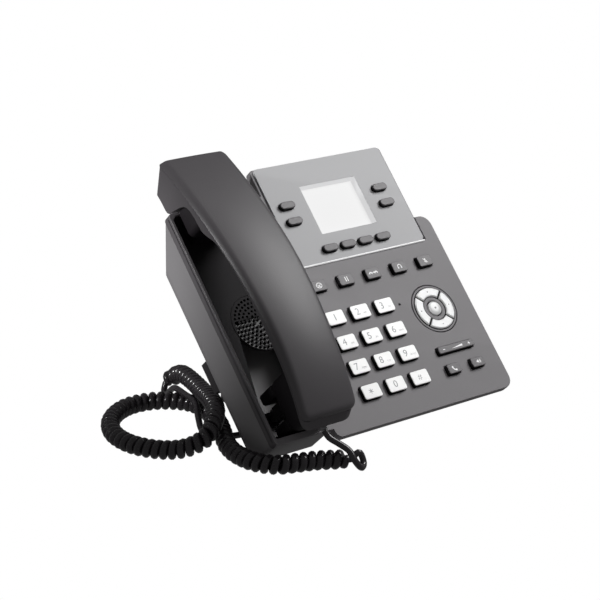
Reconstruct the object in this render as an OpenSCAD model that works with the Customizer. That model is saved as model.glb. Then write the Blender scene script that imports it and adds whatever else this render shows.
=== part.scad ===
// Desk telephone with a side handset, a small display and a curly handset cord.
// The body is drawn flat: x across, y up the face, z out of the face, with z = 0 on the
// faceplate's surface. placed() then tilts it onto the desk, where z = 0.

/* [Body] */
// Overall width of the body
body_w = 208; // [200:1:216]
// Tilt of the face from the desk
tilt = 47.5; // [46:0.5:49]
// Depth of the body behind the face
body_d = 32; // [30:1:34]
// Wall thickness of the mouldings
wall = 2.4; // [2:0.1:2.8]
// Height of the face's lower edge above the desk
lift = 13.9; // [13.8:0.1:15]
// Length of the cradle along the face
cradle_len = 180; // [176:1:182]
// Length of the display head along the face
head_len = 200.6; // [198:0.2:202]
// Length of the face beside the display head
shoulder_len = 140.6; // [138:0.2:142]

/* [Display] */
// Width of the silver surround
bezel_w = 114; // [110:1:115]
// Height of the silver surround
bezel_h = 78.8; // [76:0.2:79]
// Thickness of the silver surround
bezel_t = 1.2; // [1:0.1:1.5]
// Width of the window
window_w = 49.7; // [46:0.1:51]
// Height of the window
window_h = 38.5; // [36:0.1:39]

/* [Keys] */
// Width of a digit key
digit_w = 14.9; // [13:0.1:15.5]
// Height of a digit key
digit_h = 10; // [9:0.1:11]
// Distance between digit columns
digit_pitch_x = 21.74; // [20:0.01:22]
// Distance between digit rows
digit_pitch_y = 18.81; // [17:0.01:19]
// Distance between function keys
function_pitch = 24.1; // [23:0.1:24.5]
// Distance between soft keys
soft_pitch = 15.88; // [15.5:0.01:16.2]
// Height of a key above the face
key_proud = 3; // [2.6:0.1:3.4]
// Gap around each key
key_gap = 0.3; // [0.2:0.05:0.4]

/* [Handset] */
// Width of the ear end
ear_w = 52; // [50:1:54]
// Width of the mouth end
mouth_w = 44.5; // [42:0.5:46]
// Height of the outer shell above the seam
shell_rise = 3.8; // [3.4:0.1:4.4]

/* [Cord] */
// Outside diameter of the curly cord
coil_d = 13.2; // [12:0.1:13.4]
// Diameter of the straight leads
lead_d = 4.4; // [4:0.1:4.6]

/* [Hidden] */
$fn = 48;

// Tiny overlap that keeps cuts clean
eps = 0.05;
half_w = body_w / 2;
sheet = 2.5;               // thickness of the face
handset_x = -73.1;         // middle of the handset
seam_z = -5.5;             // where the two housings meet
head_x0 = -26;             // left side of the display head
head_x1 = 92;              // right side of the display head
nose_x1 = -59.4;           // right side of the cradle's nose
nose_y = 6.8;              // front of the nose
under_y = 17;              // front of the underside beside the nose
cradle_x0 = -99.5;         // inside of the cradle
cradle_x1 = -43.5;
cradle_z = -12;            // floor of the cradle
cradle_y0 = 12.5;
cradle_y1 = 177.6;
digit_x0 = -15.36;         // first digit column
digit_y0 = 80.22;          // first digit row
function_x0 = -16.49;
function_y = 105.36;
soft_x0 = 7.42;
soft_y = 130.56;
line_x = [-10.7, 72.82];
line_y = [168.06, 155.46];
nav_x = 69.72;
nav_y = 69.68;
nav_r = 16.2;              // outside of the ring of four keys
nav_ri = 8.9;              // inside of the ring
ok_r = 5.4;
rocker = [69.87, 38.06];    // centre of the volume rocker
rocker_w = 33;
rocker_pivot = -3.1;       // height of the pin on which it rocks
send_key = [59.27, 23.26];
speaker_key = [81.37, 23.16];
small_key = [11.5, 7];
function_key = [12.4, 8];
pill_key = [12.5, 5.4];
bezel_x0 = -23.63;
bezel_y0 = 121.8;
window_x0 = 7.53;
window_y0 = 142.45;
speaker_x = -65.2;          // centre of the loudspeaker grille
speaker_y = 94.9;
grille_r = 17.5;
mat_z = -4.7;              // top of the keypad mat
mat_t = 1.2;
board_t = 1.6;
board_z = mat_z - mat_t - board_t;
jack_top = -19;            // underside of the board that carries the sockets
stand_lift = 1;            // how far the feet stand out of the stand
cheek_x = 53;              // middle of each cheek of the stand
cheek_t = 6;
stand_y0 = 58;             // front and back of the stand on the desk
stand_y1 = 130;
plate_t = 4;
wing_t = 9.6;               // thickness of the plate's two ends
plate_y0 = 45;
plate_y1 = 86;
plate_x = 101;
jack_y = 103;              // row of sockets on the underside
panel_x0 = -32;            // panel round the sockets
panel_x1 = 85;
panel_y0 = 91;
panel_y1 = 116;
screw_spots = [[-90, 58], [96, 26], [96, 100], [-90, 140]];
hook = [-82, 30];           // centre of the hook switch
mic_hole = [42.7, 79];

// The tilted body seen from the side: y and z of a point of the flat drawing
function side_y(y, z) = y * cos(tilt) - z * sin(tilt);
function side_z(y, z) = y * sin(tilt) + z * cos(tilt) + lift;
// Handset outlines are Bezier curves
function bezier(a, b, c, d, t) = (1 - t) ^ 3 * a + 3 * t * (1 - t) ^ 2 * b
  + 3 * t ^ 2 * (1 - t) * c + t ^ 3 * d;
steps = 20;
seam = [for (i = [0:steps]) bezier([212, 11.3], [150, 35.5], [62, 46.5], [9.8, 24.5], i / steps)];
ear_corner = [200.5, -8.8];
// Front and back of the whole phone, which set the origin between them
front_y = min([for (i = [0:steps]) side_y(seam[i][0], seam[i][1] + rise(i))]);
back_y = max(side_y(head_len - (body_d + seam_z), -body_d), side_y(ear_corner[0], ear_corner[1]));
centre_y = (front_y + back_y) / 2;

module placed() { translate([0, -centre_y, lift]) rotate([tilt, 0, 0]) children(); }
module on_desk() { translate([0, -centre_y, 0]) children(); }
// A block between two corners
module block(a, b) { translate(a) cube(b - a); }
// An outline in y and z, drawn across x from x0 to x1
module across(x0, x1, points) {
  translate([x0, 0, 0]) rotate([90, 0, 90]) linear_extrude(x1 - x0) polygon(points);
}
module at(p, z = 0) { translate([p[0], p[1], z]) children(); }
// A rectangle with round corners, centred
module round_rect(size, r) {
  square([size[0] - 2 * r, size[1]], center = true);
  square([size[0], size[1] - 2 * r], center = true);
  for (x = [-1, 1], y = [-1, 1])
    translate([x * (size[0] / 2 - r), y * (size[1] / 2 - r)]) circle(r);
}

// ---- Housing ----
// Side outline of the lower housing, shrunk by t; the bottom of its nose is cut level with the desk
nose_cut = 4.3;
function profile(y0, y1, top, t) = [[y0 + t, -body_d + nose_cut * tan(tilt) + t * 0.6],
  [y0 + nose_cut + t * 0.6, -body_d + t], [top - (body_d + seam_z) - t, -body_d + t],
  [top - t, seam_z - t * 0.4], [top - t, seam_z + eps * t], [y1 + t, seam_z + eps * t]];
module housing_shape(t) {
  s = t > 0 ? t : 0;
  across(-half_w + s, nose_x1 - s, profile(nose_y, nose_y, cradle_len, t));
  across(-half_w + s, head_x1 - s, profile(under_y, 5, cradle_len, t));
  across(head_x0 + s, head_x1 - s, profile(under_y, 5, head_len, t));
  across(-half_w + s, half_w - s, profile(under_y, 5, shoulder_len, t));
}
module screw_hole(p) {
  at(p, -body_d - 1) cylinder(r = 1.7, h = 12);
  at(p, -body_d - 1) cylinder(r = 3.2, h = 4);
}
module lower_housing() color("dimgray") placed() difference() {
  union() {
    difference() { housing_shape(0); housing_shape(wall); }
    for (p = screw_spots) at(p, -body_d + 0.5) cylinder(r = 5, h = 6);
  }
  for (p = screw_spots) screw_hole(p);
  block([panel_x0, panel_y0, -body_d - 1], [panel_x1, panel_y1, -body_d + wall + eps]);
  at([-66, 36], -body_d - 1) linear_extrude(wall + 2) square([9.6, 11.4], center = true);
  // room for the front of the cradle
  block([nose_x1 - 3, cradle_y0 - 2.2, cradle_z - 2.3], [cradle_x1 + 2.3, 16, seam_z + 1]);
}
// The panel in the underside through which the row of sockets comes out
module socket_panel() color("dimgray") placed() difference() {
  fit = 0.15;
  block([panel_x0 + fit, panel_y0 + fit, -body_d], [panel_x1 - fit, panel_y1 - fit, -body_d + wall]);
  for (x = [-14, 14]) at([x, jack_y], -body_d - 1)
    linear_extrude(wall + 2) square([13.6, 15.4], center = true);
  at([44, jack_y], -body_d - 1) linear_extrude(wall + 2) square([9.6, 11.4], center = true);
  at([70, jack_y], -body_d - 1) cylinder(r = 4.6, h = wall + 2);
}
// Outline of the face, with its rounded corners
module face_outline() {
  corner = 8;
  difference() {
    union() {
      translate([-half_w, nose_y]) square([nose_x1 + half_w, cradle_len - nose_y]);
      translate([-55, 0]) square([half_w + 55, shoulder_len]);
      translate([head_x0, 100]) square([head_x1 - head_x0, head_len - 100]);
      translate([-56, nose_y]) square([40, cradle_len - nose_y]);
    }
    translate([half_w - corner, 0]) corner_cut(corner, -90);
    translate([half_w - corner, shoulder_len - corner]) corner_cut(corner, 0);
    translate([-55 + corner, 0]) corner_cut(corner, 180);
  }
}
// What is left outside the round of a corner, towards the given quarter
module corner_cut(r, turn) {
  sy = turn == 0 ? 0 : r;
  translate([0, sy]) rotate(turn) difference() { square(r + 1); circle(r); }
}
module key_holes() {
  for (i = [0:11]) at(digit_at(i)) round_rect([digit_w, digit_h] + 2 * key_gap * [1, 1], 1.5);
  for (i = [0:4]) at([function_x0 + i * function_pitch, function_y])
    round_rect(function_key + 2 * key_gap * [1, 1], 1.2);
  for (x = line_x, y = line_y) at([x, y]) pill(pill_key + 2 * key_gap * [1, 1]);
  for (i = [0:3]) at([soft_x0 + i * soft_pitch, soft_y]) pill(pill_key + 2 * key_gap * [1, 1]);
  for (q = [0:3]) at([nav_x, nav_y]) rotate(q * 90) quadrant(key_gap * 0.7);
  at([nav_x, nav_y]) circle(ok_r + key_gap);
  at(rocker) round_rect([rocker_w, 5.2] + 2 * key_gap * [1, 1], 1.2);
  for (p = [send_key, speaker_key]) at(p) round_rect(small_key + 2 * key_gap * [1, 1], 1.2);
}
function digit_at(i) = [digit_x0 + (i % 3) * digit_pitch_x, digit_y0 - floor(i / 3) * digit_pitch_y];
module pill(size) {
  square([size[0] - size[1], size[1]], center = true);
  for (s = [-1, 1]) translate([s * (size[0] - size[1]) / 2, 0]) circle(size[1] / 2);
}
// One quarter of the navigation ring, pointing up, grown by g
module quadrant(g = 0) {
  rib = 0.6;
  difference() {
    intersection() {
      circle(nav_r + g);
      rotate(45) translate([rib - g, rib - g]) square(nav_r * 2);
    }
    circle(nav_ri - g);
  }
}
module upper_housing() color("gray") placed() difference() {
  union() {
    difference() {
      translate([0, 0, seam_z]) linear_extrude(-seam_z) face_outline();
      // hollow behind the face
      block([cradle_x1 + wall, wall + 1, seam_z - 1], [half_w - wall, shoulder_len - wall, -sheet]);
      block([head_x0 + wall, 90, seam_z - 1], [head_x1 - wall, head_len - wall, -sheet]);
      cradle_space(-half_w + wall, seam_z - 1);
    }
    // raised rim round the cradle
    rim();
    cradle_tub();
    for (p = screw_spots) at(p, -body_d + 6.6)
      cylinder(r = 3.4, h = body_d - 6.6 + (p[0] < cradle_x1 ? cradle_z : -sheet) - 1);
  }
  translate([0, 0, -sheet - 1]) linear_extrude(sheet + 3) key_holes();
  translate([0, 0, -sheet - 1]) linear_extrude(sheet + 3)
    translate([window_x0 + 1, window_y0 + 1]) square([window_w - 2, window_h - 2]);
  for (p = screw_spots) at(p, -body_d + 6) cylinder(r = 1.5, h = 12);
  grille();
  at(hook, cradle_z - 5) linear_extrude(10) square([9, 7], center = true);
  at(mic_hole, -sheet - 1) cylinder(r = 0.7, h = 5);
}
// The raised rim round the cradle
module rim() {
  top = 1.5;
  block([-half_w, nose_y, -eps], [-half_w + wall, cradle_len, top]);
  block([-half_w, cradle_y1, -eps], [cradle_x1 + 6, cradle_len, top]);
}
// The cradle's hollow, whose top end slants with the back, from x0 and above z0
module cradle_space(x0, z0) {
  slant = cradle_y1 - cradle_z - 2.4 + z0;
  across(x0, cradle_x1, [[cradle_y0, 2], [cradle_y0, z0], [min(cradle_y1, slant), z0],
    [cradle_y1, -2.4], [cradle_y1, 2]]);
}
module cradle_tub() {
  t = 2;
  difference() {
    across(cradle_x0 - t, cradle_x1 + t, [[cradle_y0 - t, -sheet], [cradle_y0 - t, cradle_z - t],
      [cradle_len + 2.8 + cradle_z - t, cradle_z - t], [cradle_len - 2.6, -5.4], [cradle_y1 + eps, -sheet]]);
    cradle_space(cradle_x0, cradle_z);
  }
  // supports under the two ends of the handset
  block([-88, 160, cradle_z - eps], [-60, 170, 1.4]);
  block([-90, 14, cradle_z - eps], [-58, 22, 3.4]);
  block([-90, 38, cradle_z - eps], [-58, 46, 3.4]);
}
// Rings of small holes over the loudspeaker
module grille() {
  hole_r = 0.75;
  for (ring = [2:6]) {
    n = ring * 6;
    for (i = [0:n - 1]) rotate_about([speaker_x, speaker_y], i * 360 / n)
      translate([ring * grille_r / 6.4, 0, cradle_z - 5]) cylinder(r = hole_r, h = 8, $fn = 16);
  }
}
module rotate_about(p, a) { translate([p[0], p[1], 0]) rotate(a) children(); }

// ---- Display ----
module display_bezel() color("silver") placed() linear_extrude(bezel_t) difference() {
  translate([bezel_x0 + bezel_w / 2, bezel_y0 + bezel_h / 2]) round_rect([bezel_w, bezel_h], 3.5);
  translate([window_x0, window_y0]) square([window_w, window_h]);
  key_holes();
}
module display_window() color("whitesmoke") placed()
  block([window_x0 + 0.1, window_y0 + 0.1, 0],
    [window_x0 + window_w - 0.1, window_y0 + window_h - 0.1, 0.5]);
module lcd_module() color("lightgray") placed()
  block([window_x0 - 2, window_y0 - 4, -5.2],
    [window_x0 + window_w + 2, window_y0 + window_h + 2, -sheet - 0.1]);

// ---- Inside ----
module main_board() color("darkgreen") placed() difference() {
  union() {
    block([-24, 10, board_z], [98, 117, board_z + board_t]);
    block([-30, 90, jack_top], [82, 116, jack_top + board_t]);
    block([0, 108, jack_top + board_t - eps], [60, 114, board_z + eps]);
  }
  for (p = screw_spots) at(p, board_z - 1) cylinder(r = 4, h = 4);
}
module keypad_mat() color("lightgray") placed() difference() {
  block([-23, 9, mat_z - mat_t], [96, 116, mat_z]);
  for (p = screw_spots) at(p, mat_z - 3) cylinder(r = 4, h = 4);
}
module loudspeaker() color("dimgray") placed() at([speaker_x, speaker_y], cradle_z - 2.1) mirror([0, 0, 1]) {
  cylinder(r = 18.5, h = 2);
  translate([0, 0, 2]) cylinder(r1 = 17, r2 = 10, h = 5);
  translate([0, 0, 7]) cylinder(r = 9.5, h = 5);
}
// A moulded socket whose mouth is in the underside
module socket(outer, inner, depth) {
  difference() {
    translate([0, 0, -body_d]) linear_extrude(jack_top + body_d) square(outer, center = true);
    translate([0, 0, -body_d - 1]) linear_extrude(depth + 1) square(inner, center = true);
  }
}
module network_jacks() color("silver") placed()
  for (x = [-14, 14]) at([x, jack_y]) socket([13.4, 15.2], [8.4, 11.9], 11);
module modular_jacks() color("darkslategray") placed() {
  at([44, jack_y]) socket([9.4, 11.2], [6.4, 7.8], 9);
  at([-66, 36]) socket([9.4, 11.2], [6.4, 7.8], 9);
}
module power_jack() color("black") placed() at([70, jack_y], -body_d) {
  difference() { cylinder(r = 4.5, h = 12); translate([0, 0, -1]) cylinder(r = 2.9, h = 10.5); }
  translate([0, 0, 1]) cylinder(r = 1, h = 9);
}
module housing_screws() color("gray") placed() for (p = screw_spots) {
  at(p, -body_d + 0.9) cylinder(r = 2.9, h = 2.05);
  at(p, -body_d + 2.9) cylinder(r = 1.5, h = 12);
}

// ---- Stand ----
under_z = -body_d - 0.05;
function under(y, depth) = [side_y(y, under_z - depth), side_z(y, under_z - depth)];
module stand() color("dimgray") {
  placed() {
    block([-plate_x, plate_y1 - 22, under_z - wing_t], [-72, plate_y1, under_z]);
    block([72, plate_y1 - 22, under_z - wing_t], [plate_x, plate_y1, under_z]);
    block([-75, plate_y0, under_z - plate_t], [75, plate_y1, under_z]);
  }
  on_desk() for (s = [-1, 1]) across(s * cheek_x - cheek_t / 2, s * cheek_x + cheek_t / 2,
    [[stand_y0, stand_lift], [stand_y1, stand_lift], [stand_y1, 8], under(plate_y1, 2),
     under(plate_y0, 2), [stand_y0, 14]]);
  on_desk() {
    block([-cheek_x, stand_y1 - 12, stand_lift], [cheek_x, stand_y1, 7]);
    block([-cheek_x - 9, stand_y0, stand_lift], [-cheek_x, stand_y0 + 12, 7]);
    block([cheek_x, stand_y0, stand_lift], [cheek_x + 9, stand_y0 + 12, 7]);
  }
}
module rubber_feet() color("black") on_desk() for (s = [-1, 1], y = [stand_y0 + 6, stand_y1 - 6])
  translate([s * (cheek_x + (y < 90 ? 3 : -4)), y, 0]) cylinder(r = 5, h = stand_lift);

// ---- Handset ----
// Lower edge of the handset's sides, and its underside between them
mouth_end = [[9.8, 24.5], [5.4, 18.4]];
ear_end = [[156, 17.2], [174, 17.6], [179, 8], [183, -4], [187, -6.6], ear_corner, [212, 11.3]];
edge_line = concat(mouth_end, [[19, 22.8], [32, 26], [49, 28.4], [78, 31.2], [102, 33], [118, 32.6],
  [132, 31], [142, 27.5], [150, 20.6]], ear_end);
under_line = concat(mouth_end, [[32, 23.4], [49, 25.2], [78, 28], [102, 30.4], [133, 28], [142, 24.6],
  [150, 19]], ear_end);
module plan(grow = 0) {
  mid = handset_x;
  polygon([[mid - ear_w / 2 - 2 - grow, 218], [mid - ear_w / 2 - grow, 150], [mid - mouth_w / 2 - grow, 50],
    [mid - mouth_w / 2 - grow, 0], [mid + mouth_w / 2 + grow, 0], [mid + mouth_w / 2 + grow, 50],
    [mid + ear_w / 2 + grow, 150], [mid + ear_w / 2 + grow, 218]]);
}
module in_plan(grow = 0) {
  intersection() {
    children();
    translate([0, 0, -40]) linear_extrude(140) plan(grow);
  }
}
// The band between two curves that follow the seam, from z0 above it to z1
module band(z0, z1, from = 0, to = steps) {
  across(-120, -20, concat([for (i = [from:to]) [seam[i][0], seam[i][1] + z0]],
    [for (i = [to:-1:from]) [seam[i][0], seam[i][1] + z1]]));
}
function rise(i) = shell_rise * min(1, 0.25 + i / 3, 0.1 + (steps - i) / 2);
module handset_outer_shell() color("dimgray") placed() difference() {
  in_plan() across(-120, -20, concat(seam, [for (i = [steps:-1:0]) [seam[i][0], seam[i][1] + rise(i)]]));
  in_plan(-2) band(-1, rise(2) - 2.2, 1, steps - 2);
}
module handset_inner_shell() color("dimgray") placed() difference() {
  union() {
    in_plan() across(-120, -20, concat(seam, edge_line));
    in_plan(-7) across(-120, -20, concat(seam, under_line));
    // cups of the ear and the mouth end
    block([-90, 161, 1.7], [-58, 180, 18]);
    block([-91, 11, 3.7], [-57, 48, 23]);
  }
  in_plan(-9.2) across(-120, -20, concat([for (i = [2:steps - 1]) [seam[i][0], seam[i][1] + 1]],
    [[18, 26], [49, 28], [78, 30.4], [102, 32.6], [133, 30.4],
      [143, 27.2], [152, 21.6], [163, 20.2], [182, 20.2]]));
  block([-88, 163, 3.7], [-60, 178, 22]);
  block([-89, 14, 5.7], [-59, 46, 32]);
  // five sound holes in the ear cup and three in the mouth cup
  for (a = [0:4]) at([-74 + 5 * cos(a * 72), 170.5 + 4 * sin(a * 72)]) cylinder(r = 0.9, h = 6);
  for (x = [-3, 0, 3]) at([-74 + x, 41]) cylinder(r = 0.8, h = 8);
  block([handset_x - 5, 0, plug_z - 3.8], [handset_x + 5, 28.2, plug_z + 3.8]);
}
module receiver_capsule() color("black") placed() at([-74, 170.5], 3.8) {
  cylinder(r = 7.2, h = 2.5);
  translate([0, 0, 2.5]) cylinder(r = 5, h = 3);
}
module handset_microphone() color("silver") placed() at([-74, 39.5], 5.8) cylinder(r = 4, h = 3);
module ballast_weight() color("gray") placed() block([-84, 80, 33], [-62, 112, 35.6]);
module handset_jack() color("black") placed() difference() {
  block([handset_x - 4.9, 11, plug_z - 3.7], [handset_x + 4.9, 28.1, plug_z + 3.7]);
  block([handset_x - 3.9, 10, plug_z - 2.7], [handset_x + 3.9, 22, plug_z + 2.7]);
}
module handset_screws() color("gray") placed()
  for (p = [[-74, 33, 5.8], [-74, 140, 29.2]]) translate(p) {
    cylinder(r = 2.2, h = 1.6);
    translate([0, 0, 1.6 - eps]) cylinder(r = 1, h = 1.1);
  }

// ---- Cord ----
// Where the middle of the curly part runs on the desk, from the handset's end to the base's end
coil_route = [[-64, -17, 6.6], [-70, -12, 6.6], [-80, -6, 6.6], [-92, -1.5, 6.6], [-103.5, 4, 6.6],
  [-111.5, 16, 6.6], [-113, 33, 6.6], [-110, 48, 7.5], [-104, 61, 10], [-98.5, 73, 11.6], [-93, 86, 10.5],
  [-87, 99, 8], [-82, 115, 6.6], [-84, 129, 6.6], [-92, 140, 6.6], [-105, 148, 6.6], [-121, 149, 6.6],
  [-136, 142, 6.6], [-148, 130, 6.6], [-156, 114, 6.6], [-158, 97, 6.6], [-155, 83, 6.6],
  [-148, 71, 6.6], [-140, 61, 8], [-132, 53, 12], [-124, 50, 17.5], [-115, 56, 22.5], [-105, 68, 25.4],
  [-97, 84, 25.2], [-88, 106, 22.5], [-81, 127, 21.5], [-76, 147, 20.5], [-74, 159, 16], [-79, 165, 9.5]];
base_route = [[-82, 163, 4], [-84, 156, 5], [-86, 149, 10], [-88, 140, 15.1], [-90, 126, 15.5],
  [-92, 110, 14.4], [-98, 98, 8.5], [-102, 88, 3.2], [-101, 79, 2.3], [-95, 72, 2.2],
  [-86, 68, 2.3], [-77, 64, 4], [-70, 60, 7.5]];
exit_base = [-66, side_y(36, -39), side_z(36, -39)];
plug_y = 4.5;              // outer end of the boot on the handset's plug
plug_z = 13.5;             // height of the handset's socket
handset_exit = [handset_x, side_y(plug_y - 0.5, plug_z), side_z(plug_y - 0.5, plug_z)];
handset_route = [[-72, -11, 22], [-68, -15.5, 18.5], [-64.3, -21.5, 14.5], [-63.3, -26.1, 9],
  [-58.4, -26.8, 3], [-53.9, -23.7, 4], [-53.9, -20.9, 9], [-58, -20.2, 11.5], [-62.3, -18.7, 8.5],
  [-64, -17, 6.6]];
// A point of the curve that runs smoothly through four route points
function smooth(a, b, c, d, t) = 0.5 * (2 * b + (c - a) * t + (2 * a - 5 * b + 4 * c - d) * t ^ 2
  + (3 * b - a - 3 * c + d) * t ^ 3);
function pick(r, i) = r[max(0, min(len(r) - 1, i))];
function finer(r, n) = concat([for (i = [0:len(r) - 2], k = [0:n - 1])
  smooth(pick(r, i - 1), r[i], r[i + 1], pick(r, i + 2), k / n)], [r[len(r) - 1]]);
function unit(v) = v / norm(v);
// A round tube along a route
module tube(route, d, sides) {
  n = len(route);
  dirs = [for (i = [0:n - 1]) unit(pick(route, i + 1) - pick(route, i - 1))];
  ring = [for (i = [0:n - 1]) let (s = unit(cross(dirs[i], [0.02, 0.03, 1])), u = cross(s, dirs[i]))
    for (k = [0:sides - 1]) route[i] + d / 2 * (cos(k * 360 / sides) * s + sin(k * 360 / sides) * u)];
  faces = concat([[for (k = [0:sides - 1]) k]],
    [for (i = [0:n - 2], k = [0:sides - 1]) let (j = (k + 1) % sides, a = i * sides)
      each [[a + k, a + sides + k, a + sides + j], [a + k, a + sides + j, a + j]]],
    [[for (k = [sides - 1:-1:0]) (n - 1) * sides + k]]);
  polyhedron(ring, faces);
}
module coil_cord() color("black") on_desk() tube(finer(coil_route, 2), coil_d, 12);
module straight_leads() color("black") on_desk() {
  tube(finer(concat(base_route, [exit_base]), 2), lead_d, 8);
  tube(finer(concat([handset_exit], handset_route), 2), lead_d, 8);
}
// The clear modular plug and the boot behind it
module modular_plug(length) {
  translate([-3.1, -3.8, 0]) cube([6.2, 7.6, length]);
  translate([0, 0, -7]) cylinder(r = 2.6, h = 7 + eps);
}
module base_plug() color("gray") placed() translate([-66, 36, -body_d]) modular_plug(8);
module handset_plug() color("gray") placed() {
  block([handset_x - 3.8, 10.4, plug_z - 2.6], [handset_x + 3.8, 21.9, plug_z + 2.6]);
  translate([handset_x, plug_y, plug_z]) rotate([-90, 0, 0]) cylinder(r = 2.5, h = 6);
}

// ---- Moving parts in the body ----
module hook_switch() color("black") placed() at(hook, cradle_z - 8) {
  linear_extrude(3.4 - cradle_z + 8) square([8.2, 6.2], center = true);
  linear_extrude(1.6) square([12, 10], center = true);
}
// A key cap with a flange that holds it behind the face
module key(p, size, r, top = key_proud) placed() at(p) {
  translate([0, 0, -3.4]) linear_extrude(3.4 + top) round_rect(size, r);
  translate([0, 0, -3.4]) linear_extrude(0.8) square(size + [1.8, 1.8], center = true);
}
module pill_cap(p) placed() at(p) {
  translate([0, 0, -3.4]) linear_extrude(3.4 + bezel_t + 2.8) pill(pill_key);
  translate([0, 0, -3.4]) linear_extrude(0.8) square(pill_key + [1.4, 1.4], center = true);
}
module digit_key(i) color("white") key(digit_at(i), [digit_w, digit_h], 1.2);
module function_cap(i) color("dimgray") key([function_x0 + i * function_pitch, function_y], function_key, 1);
module nav_key(q) color("white") placed() at([nav_x, nav_y]) rotate(q * 90) {
  translate([0, 0, -3.4]) linear_extrude(3.4 + 1.2) quadrant();
  translate([0, 0, -3.4]) linear_extrude(0.8) quadrant(0.45);
}
module nav_ok() color("gray") placed() at([nav_x, nav_y], -3.4) {
  cylinder(r = ok_r, h = 3.4 + 0.9);
  cylinder(r = ok_r + 0.9, h = 0.8);
}
module volume_rocker() color("black") placed() at(rocker) {
  translate([0, 0, -2.4]) linear_extrude(2.4 + 2.7) round_rect([rocker_w - 0.5, 5], 1);
  // pin on which it rocks
  translate([0, -4, rocker_pivot]) rotate([-90, 0, 0]) cylinder(r = 0.5, h = 8);
  translate([0, 0, -3.6]) linear_extrude(2) square([14, 4.6], center = true);
}
module send_cap() color("dimgray") key(send_key, small_key, 1);
module speaker_cap() color("dimgray") key(speaker_key, small_key, 1);

lower_housing();
socket_panel();
upper_housing();
display_bezel();
display_window();
lcd_module();
main_board();
keypad_mat();
loudspeaker();
network_jacks();
modular_jacks();
power_jack();
rubber_feet();
housing_screws();
stand();
coil_cord();
straight_leads();
base_plug();
hook_switch();
handset_outer_shell();
handset_inner_shell();
receiver_capsule();
handset_microphone();
ballast_weight();
handset_jack();
handset_screws();
handset_plug();
digit_key(0);  // key_1
digit_key(1);  // key_2
digit_key(2);  // key_3
digit_key(3);  // key_4
digit_key(4);  // key_5
digit_key(5);  // key_6
digit_key(6);  // key_7
digit_key(7);  // key_8
digit_key(8);  // key_9
digit_key(9);  // key_star
digit_key(10);  // key_0
digit_key(11);  // key_pound
function_cap(0);  // key_message
function_cap(1);  // key_hold
function_cap(2);  // key_transfer
function_cap(3);  // key_headset
function_cap(4);  // key_mute
color("dimgray") pill_cap([line_x[0], line_y[0]]);  // line_key_1
color("dimgray") pill_cap([line_x[0], line_y[1]]);  // line_key_2
color("dimgray") pill_cap([line_x[1], line_y[0]]);  // line_key_3
color("dimgray") pill_cap([line_x[1], line_y[1]]);  // line_key_4
color("dimgray") pill_cap([soft_x0, soft_y]);  // soft_key_1
color("dimgray") pill_cap([soft_x0 + soft_pitch, soft_y]);  // soft_key_2
color("dimgray") pill_cap([soft_x0 + 2 * soft_pitch, soft_y]);  // soft_key_3
color("dimgray") pill_cap([soft_x0 + 3 * soft_pitch, soft_y]);  // soft_key_4
nav_key(0);  // nav_up
nav_key(2);  // nav_down
nav_key(1);  // nav_left
nav_key(3);  // nav_right
nav_ok();
volume_rocker();
send_cap();  // key_send
speaker_cap();  // key_speaker
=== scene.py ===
import math

import bpy
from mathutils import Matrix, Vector, geometry


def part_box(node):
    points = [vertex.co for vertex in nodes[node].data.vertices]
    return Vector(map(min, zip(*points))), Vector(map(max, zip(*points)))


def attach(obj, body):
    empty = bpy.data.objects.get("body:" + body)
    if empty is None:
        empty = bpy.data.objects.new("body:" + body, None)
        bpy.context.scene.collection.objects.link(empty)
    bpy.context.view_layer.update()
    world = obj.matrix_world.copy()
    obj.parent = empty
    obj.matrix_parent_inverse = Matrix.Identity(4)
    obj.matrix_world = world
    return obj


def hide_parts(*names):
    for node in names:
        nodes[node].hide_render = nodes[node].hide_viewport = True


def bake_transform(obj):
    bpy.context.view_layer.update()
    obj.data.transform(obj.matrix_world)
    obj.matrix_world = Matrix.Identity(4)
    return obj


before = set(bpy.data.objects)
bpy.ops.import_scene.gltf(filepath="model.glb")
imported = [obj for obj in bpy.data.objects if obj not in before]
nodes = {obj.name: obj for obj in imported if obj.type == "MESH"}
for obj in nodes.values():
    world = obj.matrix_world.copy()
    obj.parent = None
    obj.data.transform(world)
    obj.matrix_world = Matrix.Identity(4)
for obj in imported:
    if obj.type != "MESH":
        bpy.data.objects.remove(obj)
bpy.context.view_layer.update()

# ---- Coordinates ----
# The phone's face is drawn flat in millimetres: x across, v up the face, h out of it.
TILT = math.radians(47.5)
COS, SIN = math.cos(TILT), math.sin(TILT)
LIFT = 13.9
CENTRE_Y = 59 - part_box("rubber_feet")[0].y * 1000


def at(x, v, h):
    """A point of the flat drawing in the row frame, in metres."""
    return Vector((x, v * COS - h * SIN - CENTRE_Y, v * SIN + h * COS + LIFT)) / 1000


def desk(x, y, z):
    """A point given by its place on the desk, in the row frame, in metres."""
    return Vector((x, y - CENTRE_Y, z)) / 1000


def rgb(r, g, b):
    """A display colour from 0 to 255 as the linear colour a shader takes."""
    def line(c):
        c /= 255
        return c / 12.92 if c <= 0.04045 else ((c + 0.055) / 1.055) ** 2.4
    return (line(r), line(g), line(b), 1)


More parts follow.
